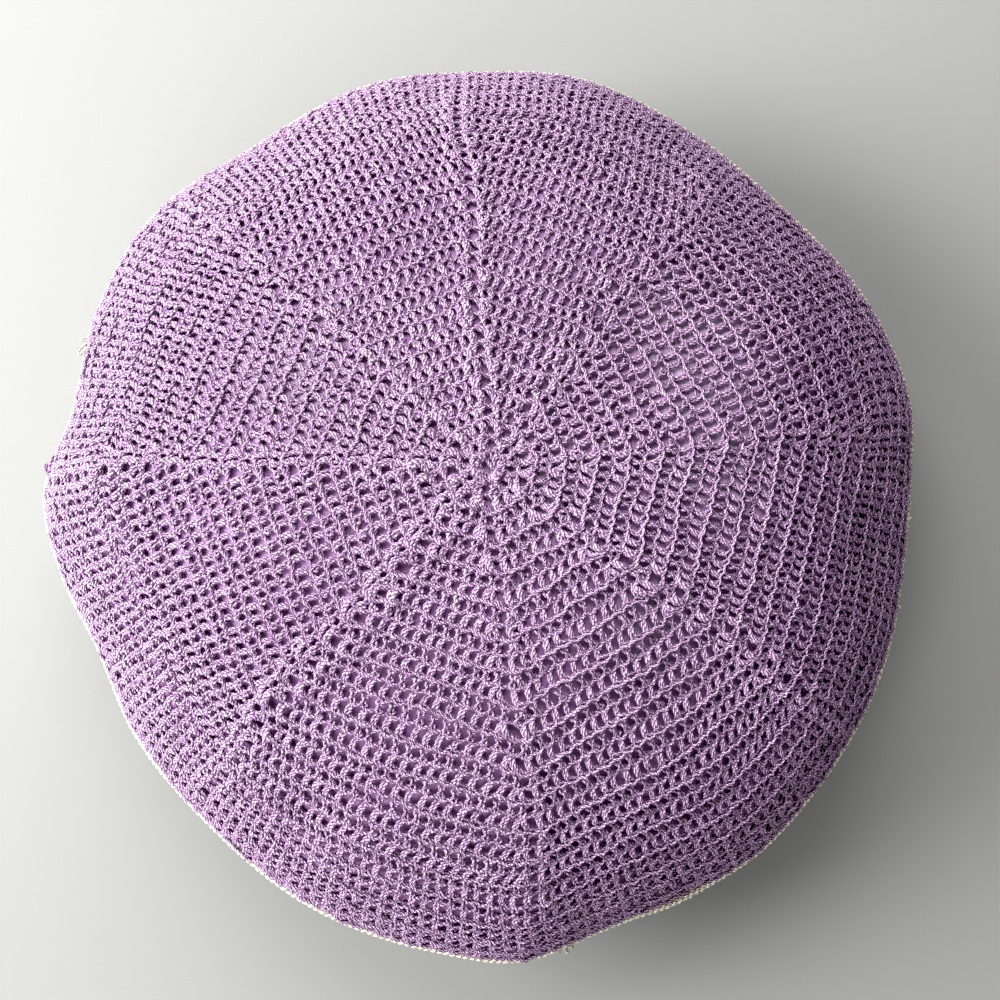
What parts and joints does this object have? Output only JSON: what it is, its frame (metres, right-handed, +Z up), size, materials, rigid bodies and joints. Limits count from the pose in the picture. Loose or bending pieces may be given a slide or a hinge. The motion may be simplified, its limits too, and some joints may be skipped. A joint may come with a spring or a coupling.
{
  "type": "crocheted round pillow",
  "caption": "Round filled pillow in a crocheted cover: a lilac front panel in turned rounds with increase ribs, a cream back panel and a cream joined rim.",
  "frame": {"origin": "middle of the flat rest under the back panel, below the centre of the front panel's first round", "axes": "+Z up through the crown of the front panel, +X to the right and +Y to the top of the pillow as seen from the front"},
  "size_m": [0.3905, 0.4006, 0.1188],
  "materials": {
    "lilac_yarn": "lustrous plied cotton yarn, crocheted",
    "cream_yarn": "matt plied cotton yarn, crocheted",
    "insert_cloth": "smooth satin-like cloth, tightly filled"
  },
  "bodies": {
    "root": {"insert": "insert_cloth", "cover_front": "lilac_yarn", "cover_back": "cream_yarn", "joining_round": "cream_yarn"}
  },
  "joints": []
}
